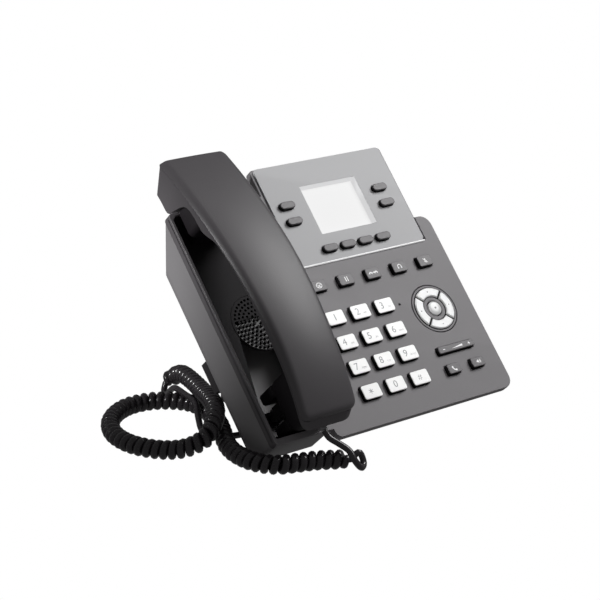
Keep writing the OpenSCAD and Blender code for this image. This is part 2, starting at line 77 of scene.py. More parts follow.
# ---- Camera ----
def add_camera():
    a, e = math.radians(-38.245), math.radians(17.906)
    back = Vector((math.sin(a) * math.cos(e), -math.cos(a) * math.cos(e), math.sin(e)))
    right = Vector((math.cos(a), math.sin(a), 0))
    up = back.cross(right)
    data = bpy.data.cameras.new("camera")
    data.sensor_width = 36
    data.lens = 110.7804
    data.clip_end = 50
    ob = bpy.data.objects.new("camera", data)
    bpy.context.scene.collection.objects.link(ob)
    spot = Vector((-766.1, -861.1 - CENTRE_Y, 455.3 + LIFT)) / 1000
    m = ob.matrix_world.to_4x4()
    for i in range(3):
        m[i][0], m[i][1], m[i][2], m[i][3] = right[i], up[i], back[i], spot[i]
    ob.matrix_world = m
    bpy.context.scene.camera = ob


add_camera()


# ---- Materials ----
def plastic(name, colour, rough, grain=0.0, size=2200, vary=0.06, metal=0.0, coat=0.0, spec=0.5, glow=0.0):
    """Moulded plastic with a fine grain in its surface and faint changes of tone and gloss."""
    mat = bpy.data.materials.new(name)
    mat.use_nodes = True
    tree = mat.node_tree
    bsdf = tree.nodes["Principled BSDF"]
    bsdf.inputs["Metallic"].default_value = metal
    bsdf.inputs["Coat Weight"].default_value = coat
    bsdf.inputs["Coat Roughness"].default_value = 0.12
    bsdf.inputs["Specular IOR Level"].default_value = spec
    # glow makes the plastic give off light of its own colour: painted light where it is used
    bsdf.inputs["Emission Color"].default_value = colour
    bsdf.inputs["Emission Strength"].default_value = glow
    mat.diffuse_color = colour
    new, link = tree.nodes.new, tree.links.new
    where = new("ShaderNodeTexCoord")
    cloud = new("ShaderNodeTexNoise")
    cloud.inputs["Scale"].default_value = 28
    cloud.inputs["Detail"].default_value = 4
    link(where.outputs["Object"], cloud.inputs["Vector"])
    tone = new("ShaderNodeMapRange")
    tone.inputs["To Min"].default_value = 1 - vary
    tone.inputs["To Max"].default_value = 1 + vary
    link(cloud.outputs["Fac"], tone.inputs["Value"])
    mix = new("ShaderNodeVectorMath")
    mix.operation = "SCALE"
    mix.inputs[0].default_value = [c * (1 - glow) for c in colour[:3]]
    link(tone.outputs["Result"], mix.inputs["Scale"])
    link(mix.outputs["Vector"], bsdf.inputs["Base Color"])
    fine = new("ShaderNodeTexNoise")
    fine.inputs["Scale"].default_value = size
    fine.inputs["Detail"].default_value = 2
    link(where.outputs["Object"], fine.inputs["Vector"])
    gloss = new("ShaderNodeMapRange")
    gloss.inputs["To Min"].default_value = max(0.03, rough - 0.06)
    gloss.inputs["To Max"].default_value = min(1, rough + 0.06)
    link(fine.outputs["Fac"], gloss.inputs["Value"])
    link(gloss.outputs["Result"], bsdf.inputs["Roughness"])
    if grain:
        bump = new("ShaderNodeBump")
        bump.inputs["Strength"].default_value = grain
        bump.inputs["Distance"].default_value = 0.0001
        link(fine.outputs["Fac"], bump.inputs["Height"])
        link(bump.outputs["Normal"], bsdf.inputs["Normal"])
    return mat


MAT = {
    "face_grey": plastic("face_grey", rgb(134, 131, 134), 0.5, 0.4, 1500, 0.035),
    "base_grey": plastic("base_grey", rgb(128, 126, 128), 0.5, 0.35, 1500, 0.03),
    # the face's plastic made darker: painted shade for the rim's outer side
    "rim_painted_shade": plastic("rim_painted_shade", rgb(84, 81, 84), 0.5, 0.35, 1500, 0.03),
    # near-black: painted shade in the cradle and in the lower shell's holes; also the dark lip inside the seam
    "cradle_shade_and_dark_lip": plastic("cradle_shade_and_dark_lip", rgb(26, 22, 26), 0.7, 0.4, 1300, 0.05, spec=0.3),
    "bezel_silver": plastic("bezel_silver", rgb(207, 207, 209), 0.5, 0.12, 3000, 0.015, spec=0.4),
    # a white that glows: painted highlight along the bezel's lower edge
    "edge_painted_highlight": plastic("edge_painted_highlight", rgb(246, 246, 247), 0.2, 0.0, 3000, 0.01, glow=0.5),
    # glowing white: painted light that keeps the sunk screen evenly bright
    "screen_white": plastic("screen_white", rgb(244, 244, 244), 0.5, 0.05, 4000, 0.01, spec=0.2, glow=0.8),
    # glowing pale grey: painted light on the walls of the display's recess
    "screen_wall_painted_glow": plastic("screen_wall_painted_glow", rgb(228, 228, 229), 0.4, 0.05, 4000, 0.01, spec=0.2, glow=0.75),
    "handset_grey": plastic("handset_grey", rgb(84, 81, 84), 0.42, 0.45, 1500, 0.03),
    "handset_side": plastic("handset_side", rgb(86, 83, 86), 0.5, 0.45, 1500, 0.03),
    # near-black: painted shade on the handset's ear and mouth cups; also the dark seam groove and the hook
    # switch
    "handset_dark": plastic("handset_dark", rgb(28, 24, 28), 0.6, 0.3, 1500, 0.05, spec=0.3),
    "stand_grey": plastic("stand_grey", rgb(44, 41, 44), 0.55, 0.4, 1300, 0.05),
    # glows a little: painted light that lifts the white keys
    "key_white": plastic("key_white", rgb(253, 253, 252), 0.3, 0.0, 3000, 0.01, coat=0.3, glow=0.3),
    "key_side": plastic("key_side", rgb(16, 14, 16), 0.45, 0.1, 2500, 0.03, spec=0.2),
    "key_grey": plastic("key_grey", rgb(112, 109, 112), 0.42, 0.25, 2200, 0.03),
    "key_pill": plastic("key_pill", rgb(104, 101, 104), 0.42, 0.25, 2200, 0.03),
    # glows a little: painted light on the silver keys
    "key_silver": plastic("key_silver", rgb(240, 240, 240), 0.25, 0.0, 2200, 0.02, coat=0.3, glow=0.06),
    # near-black: painted shade on the floors of the keys' wells
    "key_well_shade": plastic("key_well_shade", rgb(22, 20, 22), 0.5, 0.1, 2500, 0.04, spec=0.3),
    "print_pale": plastic("print_pale", rgb(168, 169, 172), 0.5, 0.0, 4000, 0.02),
    # the print is real; its glow is painted light
    "print_white_painted_glow": plastic("print_white_painted_glow", rgb(248, 248, 248), 0.5, 0.0, 4000, 0.02, glow=0.6),
    "print_grey": plastic("print_grey", rgb(128, 128, 130), 0.5, 0.0, 4000, 0.02),
    "cord_black": plastic("cord_black", rgb(46, 42, 46), 0.26, 0.12, 900, 0.06, coat=0.3),
    "plug_clear": plastic("plug_clear", rgb(150, 150, 152), 0.15, 0.0, 900, 0.03, coat=0.6),
    "rubber": plastic("rubber", rgb(28, 26, 28), 0.8, 0.5, 900, 0.08),
    "socket_black": plastic("socket_black", rgb(30, 28, 30), 0.45, 0.2, 1200, 0.05),
    "socket_metal": plastic("socket_metal", rgb(176, 178, 180), 0.32, 0.2, 1800, 0.05, metal=1.0),
    "steel": plastic("steel", rgb(150, 150, 152), 0.35, 0.25, 1800, 0.08, metal=1.0),
    "board_green": plastic("board_green", rgb(30, 84, 48), 0.4, 0.2, 900, 0.12),
    "mat_rubber": plastic("mat_rubber", rgb(190, 190, 188), 0.7, 0.3, 900, 0.05),
}


# ---- Meshes ----
def add(name, verts, faces, body, mats, face_mats=None, angle=40):
    """A mesh piece from points in the row frame, riding on a body."""
    me = bpy.data.meshes.new(name)
    me.from_pydata([tuple(v) for v in verts], [], faces)
    me.validate()
    me.update()
    mats = mats if isinstance(mats, list) else [mats]
    for m in mats:
        me.materials.append(MAT[m])
    if face_mats:
        me.polygons.foreach_set("material_index", face_mats)
    me.shade_smooth()
    me.set_sharp_from_angle(angle=math.radians(angle))
    # triangles only close flat lids, so they are shaded flat
    me.polygons.foreach_set("use_smooth", [len(f.vertices) != 3 for f in me.polygons])
    ob = bpy.data.objects.new(name, me)
    bpy.context.scene.collection.objects.link(ob)
    if body:
        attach(ob, body)
    return ob


class Shape:
    """Gathers points of the flat drawing and faces, with a material number for each face."""

    def __init__(self):
        self.points, self.faces, self.kinds = [], [], []

    def put(self, points):
        start = len(self.points)
        self.points += [tuple(p) for p in points]
        return start

    def face(self, indices, kind=0):
        self.faces.append(tuple(indices))
        self.kinds.append(kind)

    def rings(self, rings, kind=0, closed=True):
        """Quads between loops of points that have the same number of points."""
        n = len(rings[0])
        start = self.put([p for ring in rings for p in ring])
        for i in range(len(rings) - 1):
            for k in range(n if closed else n - 1):
                a, b = start + i * n + k, start + i * n + (k + 1) % n
                self.face((a, b, b + n, a + n), kind)
        return start

    def make(self, name, body, mats, angle=40):
        return add(name, [at(*p) for p in self.points], self.faces, body, mats, self.kinds, angle)


def area(loop):
    return sum(loop[i - 1][0] * p[1] - p[0] * loop[i - 1][1] for i, p in enumerate(loop)) / 2


def turned(loop, ccw=True):
    return list(loop) if (area(loop) > 0) == ccw else list(reversed(loop))


def inset(loop, d):
    """The loop moved by d towards its left side."""
    out = []
    for i, p in enumerate(loop):
        a, c = loop[i - 1], loop[(i + 1) % len(loop)]
        e, f = Vector((p[0] - a[0], p[1] - a[1])).normalized(), Vector((c[0] - p[0], c[1] - p[1])).normalized()
        n, m = Vector((-e.y, e.x)), Vector((-f.y, f.x))
        s = (n + m) / max(0.35, 1 + n.dot(m))
        out.append((p[0] + s.x * d, p[1] + s.y * d))
    return out


def fillet(corners, steps=6):
    """A closed outline from corners (x, y, radius)."""
    out = []
    for i, (x, y, r) in enumerate(corners):
        a, c = corners[i - 1], corners[(i + 1) % len(corners)]
        p = Vector((x, y))
        e, f = (Vector(a[:2]) - p).normalized(), (Vector(c[:2]) - p).normalized()
        if r <= 0:
            out.append((x, y))
            continue
        half = math.acos(max(-1, min(1, e.dot(f)))) / 2
        run = r / math.tan(half)
        mid = p + (e + f).normalized() * (r / math.sin(half))
        start, end = p + e * run - mid, p + f * run - mid
        whole = start.angle_signed(end)
        for k in range(steps + 1):
            ang = -whole * k / steps
            out.append((mid.x + start.x * math.cos(ang) - start.y * math.sin(ang),
                        mid.y + start.x * math.sin(ang) + start.y * math.cos(ang)))
    return out


def box_loop(x0, y0, x1, y1, r=0.0, steps=5):
    return fillet([(x0, y0, r), (x1, y0, r), (x1, y1, r), (x0, y1, r)], steps)


def round_box(cx, cy, w, h, r, steps=5):
    return box_loop(cx - w / 2, cy - h / 2, cx + w / 2, cy + h / 2, r, steps)


def circle(cx, cy, r, n=24):
    return [(cx + r * math.cos(2 * math.pi * k / n), cy + r * math.sin(2 * math.pi * k / n)) for k in range(n)]


def pill(cx, cy, w, h, n=8):
    r, s = h / 2, (w - h) / 2
    turns = [math.pi * (k / n - 0.5) for k in range(n + 1)]
    arc = [(math.cos(a) * r, math.sin(a) * r) for a in turns]
    return [(cx + s + x, cy + y) for x, y in arc] + [(cx - s - x, cy - y) for x, y in arc]


def fill(shape, loops, index, up=True, kind=0):
    """Triangles between flat loops whose points the shape already has, facing up or down."""
    for tri in geometry.tessellate_polygon(loops):
        a, b, c = (index[t] for t in tri)
        pa, pb, pc = (Vector(shape.points[t][:2]) for t in (a, b, c))
        left = (pb - pa).cross(pc - pa) > 0
        shape.face((a, b, c) if left == up else (a, c, b), kind)


def slab(shape, loops, h0, h1, top=0.3, bottom=0.0, steps=3, kinds=(0, 0, 0)):
    """A plate with holes between two heights, its edges rounded.

    top and bottom are the roundings' radii; kinds gives the materials of top, side and bottom.
    """
    loops = [turned(loops[0])] + [turned(q, False) for q in loops[1:]]
    bends = [math.pi / 2 * k / steps for k in range(steps + 1)]
    levels = [(0, h0, 1)]
    if bottom:
        levels = [(bottom * (1 - math.sin(a)), h0 + bottom * (1 - math.cos(a)), 2) for a in bends]
    for k, a in enumerate(bends):
        levels.append((top * (1 - math.cos(a)), h1 - top + top * math.sin(a), 0 if k else 1))
    ends = [[], []]
    for loop in loops:
        n = len(loop)
        start = shape.put([(x, y, h) for d, h, _ in levels for x, y in inset(loop, d)])
        for i in range(len(levels) - 1):
            for k in range(n):
                a, b = start + i * n + k, start + i * n + (k + 1) % n
                shape.face((a, b, b + n, a + n), kinds[levels[i + 1][2]])
        ends[0].append((start, [Vector((x, y, 0)) for x, y in inset(loop, levels[0][0])]))
        ends[1].append((start + (len(levels) - 1) * n,
                        [Vector((x, y, 0)) for x, y in inset(loop, levels[-1][0])]))
    for end, up, kind in ((ends[1], True, kinds[0]), (ends[0], False, kinds[2])):
        index = [s + k for s, q in end for k in range(len(q))]
        fill(shape, [q for _, q in end], index, up, kind)


# ---- Cord ----
HANDSET_X = -73.1
EXIT_HANDSET = (HANDSET_X, 4 * COS - 13.5 * SIN, 4 * SIN + 13.5 * COS + LIFT)
EXIT_BASE = (-66, 36 * COS + 39 * SIN, 36 * SIN - 39 * COS + LIFT)
HANDSET_ROUTE = [(-72, -11, 22), (-68, -15.5, 18.5), (-64.3, -21.5, 14.5), (-63.3, -26.1, 9),
    (-58.4, -26.8, 3), (-53.9, -23.7, 4), (-53.9, -21.2, 9), (-56.2, -20.8, 11), (-59.4, -19.6, 8.5)]
COIL_ROUTE = [(-61, -18.5, 6.6), (-69, -12.5, 6.6), (-80, -6, 6.6), (-92, -1.5, 6.6), (-103.5, 4, 6.6),
    (-111.5, 16, 6.6), (-113, 33, 6.6), (-110, 48, 7.5), (-104, 61, 10), (-98.5, 73, 11.6), (-93, 86, 10.5),
    (-87, 99, 8), (-82, 115, 6.6), (-84, 129, 6.6), (-92, 140, 6.6), (-105, 148, 6.6), (-121, 149, 6.6),
    (-136, 142, 6.6), (-148, 130, 6.6), (-156, 114, 6.6), (-158, 97, 6.6), (-155, 83, 6.6),
    (-148, 71, 6.6), (-140, 61, 8), (-132, 53, 12), (-124, 50, 17.5), (-115, 56, 22.5), (-105, 68, 25.4),
    (-97, 84, 25.2), (-88, 106, 22.5), (-81, 127, 21.5), (-76, 147, 20.5), (-74, 159, 16), (-79, 165, 9.5)]
BASE_ROUTE = [(-82, 163, 4), (-84, 156, 5), (-86, 149, 10), (-88, 140, 15.1), (-90, 126, 15.5),
    (-92, 110, 14.4), (-98, 98, 8.5), (-102, 88, 3.2), (-101, 79, 2.3), (-95, 72, 2.2),
    (-86, 68, 2.3), (-77, 64, 4), (-70, 60, 7.5), EXIT_BASE]
COIL_D, LEAD_D = 13.2, 4.4
TURNS = 86


def smooth_route(route, n=24):
    r, out = [Vector(p) for p in route], []
    pick = lambda i: r[max(0, min(len(r) - 1, i))]
    for i in range(len(r) - 1):
        a, b, c, d = pick(i - 1), r[i], r[i + 1], pick(i + 2)
        for k in range(n):
            t = k / n
            out.append(0.5 * (2 * b + (c - a) * t + (2 * a - 5 * b + 4 * c - d) * t ** 2
                              + (3 * b - a - 3 * c + d) * t ** 3))
    return out + [r[-1]]


def resample(line, count):
    """Evenly spaced points along a line."""
    run = [0]
    for a, b in zip(line, line[1:]):
        run.append(run[-1] + (b - a).length)
    out, j = [], 0
    for k in range(count):
        s = run[-1] * k / (count - 1)
        while j < len(line) - 2 and run[j + 1] < s:
            j += 1
        t = (s - run[j]) / max(1e-9, run[j + 1] - run[j])
        out.append(line[j].lerp(line[j + 1], min(1, max(0, t))))
    return out


def frames(line):
    """A side and an up direction at each point of a line, with no twist."""
    out, side = [], None
    for i, p in enumerate(line):
        d = (line[min(i + 1, len(line) - 1)] - line[max(i - 1, 0)]).normalized()
        side = (d.cross(Vector((0, 0, 1))) if side is None else side - d * side.dot(d)).normalized()
        out.append((side, side.cross(d)))
    return out


def tube(name, line, radii, body, mat, sides=10):
    verts, faces = [], []
    turns = [2 * math.pi * k / sides for k in range(sides)]
    for p, (s, u), radius in zip(line, frames(line), radii):
        verts += [p + radius * (math.cos(a) * s + math.sin(a) * u) for a in turns]
    for i in range(len(line) - 1):
        for k in range(sides):
            a, b = i * sides + k, i * sides + (k + 1) % sides
            faces.append((a, b, b + sides, a + sides))
    faces += [tuple(reversed(range(sides))), tuple(range(len(verts) - sides, len(verts)))]
    return add(name, verts, faces, body, mat, angle=60)


def add_cord():
    core = resample(smooth_route(COIL_ROUTE), TURNS * 16 + 1)
    wire, thick = [], []
    last = len(core) - 1
    for i, (p, (s, u)) in enumerate(zip(core, frames(core))):
        grow = min(1, i / 14, (last - i) / 14)
        thick.append(LEAD_D / 2000 * (1 + 0.3 * grow))
        r = (COIL_D - LEAD_D * 1.3) / 2 * grow * grow * (3 - 2 * grow)
        ang = 2 * math.pi * i / 16
        wire.append(p + r * (math.cos(ang) * s + math.sin(ang) * u))
    front = resample(smooth_route([EXIT_HANDSET] + HANDSET_ROUTE + [COIL_ROUTE[0]]), 34)
    rear = resample(smooth_route([COIL_ROUTE[-1]] + BASE_ROUTE), 60)
    line = [desk(*p) for p in front[:-1] + wire + rear[1:]]
    lead = LEAD_D / 2000
    radii = [lead] * (len(front) - 1) + thick + [lead] * (len(rear) - 1)
    ob = tube("curly_cord", line, radii, None, "cord_black")
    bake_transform(ob)
    return ob, line


cord, cord_line = add_cord()
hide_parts("coil_cord", "straight_leads")


# ---- Housing ----
FACE = fillet([(-104, 6.8, 3), (-56, 6.8, 0.5), (-55, 0, 5), (104, 0, 8), (104, 140.6, 8), (92, 140.6, 0.6),
               (92, 200.6, 3), (-26, 200.6, 3), (-26, 180, 0.6), (-104, 180, 3.5)])
DIGIT_X, DIGIT_Y = -15.36, 80.22
PITCH_X, PITCH_Y = 21.74, 18.81
DIGITS = [(DIGIT_X + (i % 3) * PITCH_X, DIGIT_Y - (i // 3) * PITCH_Y) for i in range(12)]
FUNCTIONS = [(-16.49 + i * 24.1, 105.36) for i in range(5)]
PILLS = [(-10.7, 168.06), (-10.7, 155.46), (72.82, 168.06), (72.82, 155.46)]
PILLS += [(7.42 + i * 15.88, 130.56) for i in range(4)]
KEY_TOP, SKIRT = 3.0, -1.5
NAV = (69.72, 69.68)
ROCKER, SEND, SPEAKER = (69.87, 38.06), (59.27, 23.26), (81.37, 23.16)


def sector(r0, r1, turn, gap, n=12):
    """A quarter of a ring, centred on an angle, with straight gaps between it and the next."""
    out = []
    for r, order in ((r1, 1), (r0, -1)):
        half = math.pi / 4 - math.asin(gap / r)
        arc = [turn - half + 2 * half * k / n for k in range(n + 1)]
        out += [(NAV[0] + r * math.cos(a), NAV[1] + r * math.sin(a)) for a in arc[::order]]
    return out


def add_face():
    g = 0.45
    keys = [round_box(x, y, 14.9 + 2 * g, 10 + 2 * g, 1.6) for x, y in DIGITS]
    keys += [round_box(x, y, 12.4 + 2 * g, 8 + 2 * g, 1.3) for x, y in FUNCTIONS]
    keys += [pill(x, y, 12.5 + 2 * g, 5.4 + 2 * g) for x, y in PILLS]
    keys += [round_box(*ROCKER, 33 + 2 * g, 5.2 + 2 * g, 1.4)]
    keys += [round_box(*p, 11.5 + 2 * g, 7 + 2 * g, 1.3) for p in (SEND, SPEAKER)]
    s = Shape()
    cradle = box_loop(-101.6, 11.5, -43.5, 177.6, 3)
    window = box_loop(7.53, 142.45, 57.23, 180.95)
    slot = box_loop(90.5, 122.2, 92.2, 139.9, 0.4, 2)
    microphone = circle(42.7, 79, 0.7, 12)
    holes = [cradle, window, slot, circle(*NAV, 18.6, 64), microphone] + keys
    slab(s, [FACE] + holes, -5.5, 0, top=0.5)
    # ring round the navigation keys, and the well they stand in, with a near-black floor of painted shade
    slab(s, [circle(*NAV, 18.1, 64), circle(*NAV, 16.6, 64)], -3.3, 0.1, top=0.3)
    slab(s, [circle(*NAV, 18.6, 64)], -3.8, -3.2, top=0.1, kinds=(2, 2, 2))
    slab(s, [circle(*NAV, 8.9, 48), circle(*NAV, 6.1, 48)], -3.3, 0.3, top=0.5)
    # floors of the wells, near-black as painted shade
    slab(s, [box_loop(-24, 9, 98, 119, 2)], -3.9, -3.25, top=0.1, kinds=(2, 2, 2))
    slab(s, [box_loop(-24, 122, 91, 138, 2)], -3.9, -3.2, top=0.1, kinds=(2, 2, 2))
    # raised rim along the cradle's outer side and top
    rim = fillet([(-104, 6.8, 3), (-101.6, 6.8, 0), (-101.6, 174.6, 2), (-98.6, 177.6, 2), (-38, 177.6, 0),
                  (-38, 180, 0.5), (-104, 180, 3.5)], 5)
    slab(s, [rim], -1.2, 1.5, top=0.5)
    ob = s.make("face", "base", ["face_grey", "rim_painted_shade", "key_well_shade"])
    # the outer side of the rim gets a darker grey than the face: painted shade on the same plastic
    for f in ob.data.polygons:
        c = f.center
        if f.material_index == 0 and c.x < -0.1012 and f.normal.x < -0.55:
            f.material_index = 1
    return ob


def lean(x, y, h):
    """The lower housing leans in below the seam: fully at its top ends, a little at its front and sides."""
    down = -5.5 - h
    if y > 100:
        y -= down
    elif x > -58 and y < 30:
        y += down * 12 / 21.8
    side = 1 - 0.004 * down / 26.5
    return (x * side, y, h)


NETWORK = [(-14, 103), (14, 103)]
MODULAR = [(44, 103), (-66, 36)]
POWER = (70, 103)
SCREWS = [(-90, 58), (96, 26), (96, 100), (-90, 140)]


def add_lower():
    s = Shape()
    outline = turned(fillet([(-103.7, 7.1, 3), (-58, 7.1, 0.5), (-56.5, 5.3, 1), (103.7, 5.3, 8),
                             (103.7, 140.3, 8), (91.7, 140.3, 0.6), (91.7, 200.3, 3), (-25.7, 200.3, 3),
                             (-25.7, 179.7, 0.6), (-103.7, 179.7, 3.5)]))
    holes = [round_box(*p, 13.5, 15.3, 0.4) for p in NETWORK] + [round_box(*p, 9.5, 11.3, 0.4) for p in MODULAR]
    holes += [circle(*POWER, 4.55)] + [circle(*p, 3.2) for p in SCREWS]
    level = NETWORK + MODULAR + [POWER] + SCREWS

    def warp(x, y, h):
        # the nose is cut level with the desk
        if x < -57 and y < 20 and h < -27.3:
            y += (-27.3 - h) / 4.7 * 4.3
        in_hole = any(abs(x - cx) < 9 and abs(y - cy) < 9 for cx, cy in level)
        return (x, y, h) if in_hole else lean(x, y, h)

    levels = [(-32, 0.4), (-31.6, 0.05), (-27.3, 0), (-6.1, 0), (-5.75, 0.35)]
    rings = [[warp(x, y, h) for x, y in inset(outline, d)] for h, d in levels]
    start = s.rings(rings)
    n = len(outline)
    # underside, with the sockets' and screws' holes
    holes = [turned(q, False) for q in holes]
    index = [start + k for k in range(n)]
    for q in holes:
        first = s.rings([[(x, y, -32) for x, y in q], [(x, y, -22) for x, y in q]], 1)
        index += [first + k for k in range(len(q))]
    edge = [(x, y) for x, y, _ in rings[0]]
    fill(s, [[Vector((x, y, 0)) for x, y in q] for q in [edge] + holes], index, False)
    # a dark lip inside the seam
    lip = ((-5.75, 0.35), (-5.75, 1.2), (-5.3, 1.2), (-5.3, 4))
    s.rings([[(x, y, h) for x, y in inset(outline, d)] for h, d in lip], 1)
    return s.make("lower_shell", "base", ["base_grey", "cradle_shade_and_dark_lip"])


GRILLE = (-64.5, 95.5)


def add_cradle():
    """The hollow that the handset lies in: walls, a floor with the loudspeaker's holes, and the supports,
    coloured near-black as painted shade.
    """
    s = Shape()
    rings = []
    for d, h in ((0.3, -0.6), (0.5, -6), (0.8, -8.5), (1.6, -10.6), (3.0, -11.7), (4.6, -12)):
        ring = inset(turned(box_loop(-101.6, 11.5, -43.5, 177.6, 3)), d)
        rings.append([(x, y - (max(0, -2.4 - h) if y > 100 else 0), h) for x, y in ring])
    start = s.rings(rings, 0)
    n = len(rings[0])
    x0, y0 = GRILLE
    holes = []
    for ring in range(1, 7):
        r = ring * 2.95
        for i in range(ring * 6):
            a = 2 * math.pi * i / (ring * 6)
            holes.append(turned(circle(x0 + r * math.cos(a), y0 + r * math.sin(a), 1.0, 8), False))
    index = [start + (len(rings) - 1) * n + k for k in range(n)]
    for q in holes:
        first = s.rings([[(x, y, -12) for x, y in q], [(x, y, -13.6) for x, y in q]], 1)
        index += [first + k for k in range(len(q))]
    edge = [(x, y) for x, y, _ in rings[-1]]
    fill(s, [[Vector((x, y, 0)) for x, y in q] for q in [edge] + holes], index)
    slab(s, [circle(*GRILLE, 19.4, 40)], -14, -13.5, top=0.1, kinds=(1, 1, 1))
    # a shallow groove's raised edge round the loudspeaker's holes
    slab(s, [circle(*GRILLE, 20.9, 48), circle(*GRILLE, 20.3, 48)], -12.2, -11.7, top=0.2)
    slab(s, [box_loop(-88, 160, -60, 171, 2)], -12.2, 1.2, top=1)
    slab(s, [box_loop(-90, 14.5, -58, 22, 2)], -12.2, 3.2, top=1)
    slab(s, [box_loop(-90, 38, -58, 46, 2)], -12.2, 3.2, top=1)
    return s.make("cradle", "base", ["cradle_shade_and_dark_lip", "socket_black"])


face, lower, cradle = add_face(), add_lower(), add_cradle()
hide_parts("upper_housing")
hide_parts("lower_housing")


# ---- Display ----
def add_bezel():
    s = Shape()
    g = 0.4
    window = box_loop(7.53, 142.45, 57.23, 180.95)
    pills = [pill(x, y, 12.5 + 2 * g, 5.4 + 2 * g) for x, y in PILLS]
    slab(s, [box_loop(-23.63, 121.8, 90.37, 200.3, 3.2), window] + pills, 0, 1.2, top=0.3)
    # bright strip along the lower edge, white and glowing: a painted highlight
    slab(s, [box_loop(-23.4, 121, 90.2, 121.9, 0.2, 2)], 0, 1.35, top=0.25, kinds=(1, 1, 1))
    # pale walls and surround of the sunk display, glowing: painted light
    w = [(7.58, 142.5), (57.18, 142.5), (57.18, 180.9), (7.58, 180.9)]
    deep = [(9.2, 144.0), (55.4, 144.0), (55.4, 179.4), (9.2, 179.4)]
    s.rings([[(x, y, 1.18) for x, y in w], [(x, y, -2.6) for x, y in deep]], 2)
    return s.make("bezel", "base", ["bezel_silver", "edge_painted_highlight", "screen_wall_painted_glow"])


def add_screen():
    s = Shape()
    # the screen glows: painted light
    slab(s, [box_loop(8.4, 143.2, 56.4, 180.2)], -4, -2.5, top=0.1)
    return s.make("screen", "base", "screen_white")


bezel, screen = add_bezel(), add_screen()
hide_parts("display_bezel")
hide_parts("display_window", "lcd_module")


# ---- Handset ----
def seam(t):
    a, b, c, d = (1 - t) ** 3, 3 * t * (1 - t) ** 2, 3 * t * t * (1 - t), t ** 3
    return (a * 212 + b * 150 + c * 62 + d * 9.8, a * 11.3 + b * 35.5 + c * 46.5 + d * 24.5)


def seam_dir(t):
    (v0, h0), (v1, h1) = seam(max(0, t - 0.002)), seam(min(1, t + 0.002))
    n = math.hypot(v1 - v0, h1 - h0)
    return (v1 - v0) / n, (h1 - h0) / n


def ease(x):
    x = min(1, max(0, x))
    return x * x * (3 - 2 * x)


def half_width(v):
    return 22.25 + 3.75 * ease((v - 45) / 95) + ease((v - 110) / 80)


def middle(v):
    return HANDSET_X - ease((v - 110) / 80)


def stations():
    """Places along the handset, close together at its two ends, with the distance to the nearer end."""
    fine = [seam(i / 400) for i in range(401)]
    run = [0]
    for a, b in zip(fine, fine[1:]):
        run.append(run[-1] + math.dist(a, b))
    total = run[-1]
    ends = [0, 0.25, 0.7, 1.3, 2.1, 3.1, 4.3, 5.7, 7.3, 9.3]
    places = ends + [9.3 + (total - 18.6) * k / 64 for k in range(1, 64)] + [total - e for e in reversed(ends)]
    out = []
    for s in places:
        j = min(399, next((k for k in range(400) if run[k + 1] >= s), 399))
        t = (j + (s - run[j]) / (run[j + 1] - run[j])) / 400
        out.append((t, s, total - s))
    return out


STATIONS = stations()


def width_at(t, s, rest):
    """Half width with the plan's corners rounded."""
    w = half_width(seam(t)[0])
    for d, r in ((s, 2.5), (rest, 6.0)):
        if d < r:
            w -= r - math.sqrt(r * r - (r - d) ** 2)
    return w


def add_outer_shell():
    s = Shape()
    rings = []
    across = [k / 30 for k in range(31)]
    for t, run, rest in STATIONS:
        v, h = seam(t)
        dv, dh = seam_dir(t)
        nv, nh = (-dh, dv) if dv > 0 else (dh, -dv)
        w = width_at(t, run, rest)
        along = min(1, max(0, (run - 10) / 90))
        chamfer = 1 - ease(run / 120)
        crown = 0.5 + 1.9 * ease(run / 90) * (1 - 0.35 * ease((run - 150) / 60))
        b = 4.6 - 0.8 * along
        end = 1.0
        for d, r in ((run, 2.2), (rest, 4.5)):
            if d < r:
                end *= math.sqrt(max(0, 1 - (1 - d / r) ** 2))
        ring = []
        for k in across:
            # points gather near the two edges
            u = math.sin((k - 0.5) * math.pi) * 0.35 + (k - 0.5) * 2 * 0.65
            x = u * w
            d = w - abs(x)
            e = min(1, d / b)
            f = chamfer * (1 - max(0, 1 - e) ** 1.25) + (1 - chamfer) * math.sqrt(max(0, 1 - (1 - e) ** 2))
            z = (0.7 + 2.9 * f) * (0.25 + 0.75 * end) + crown * end * (1 - u * u)
            ring.append((middle(v) + x, v + nv * z, h + nh * z))
        rings.append(ring)
    n = len(rings[0])
    top = s.rings(rings, closed=False)
    low = []
    for (t, run, rest) in STATIONS:
        v, h = seam(t)
        w = width_at(t, run, rest)
        low.append([(middle(v) - w, v, h), (middle(v) + w, v, h)])
    base = s.put([p for pair in low for p in pair])
    m = len(STATIONS)
    for i in range(m - 1):
        a, b = base + 2 * i, base + 2 * (i + 1)
        s.face((top + i * n, a, b, top + (i + 1) * n))
        s.face((top + i * n + n - 1, top + (i + 1) * n + n - 1, b + 1, a + 1))
        s.face((a, a + 1, b + 1, b))
    s.face([top + k for k in range(n)] + [base + 1, base])
    s.face([top + (m - 1) * n + k for k in reversed(range(n))] + [base + 2 * m - 2, base + 2 * m - 1])
    return s.make("handset_outer", "handset", "handset_grey", angle=50)


LOWER_EDGE = [(212, 200.5, -8.8), (204, 193, -7.8), (197, 186, -7.4), (193.5, 183, -6),
    (191, 181.4, -2.8), (188.5, 180.6, 3.5), (185.5, 178, 11), (181, 174.5, 16.6), (167, 166, 18.8),
    (160.5, 160, 18.6), (153, 154, 18.8), (147, 148, 22.6), (141, 141.5, 27.8), (133, 132.5, 31),
    (118, 118, 32.6), (102, 102, 33), (90, 90, 32.6), (78, 78, 31.2), (62, 62, 29.4), (49, 49, 28.4),
    (32, 32, 26), (20, 19, 22.8), (9.8, 5.4, 18.4)]


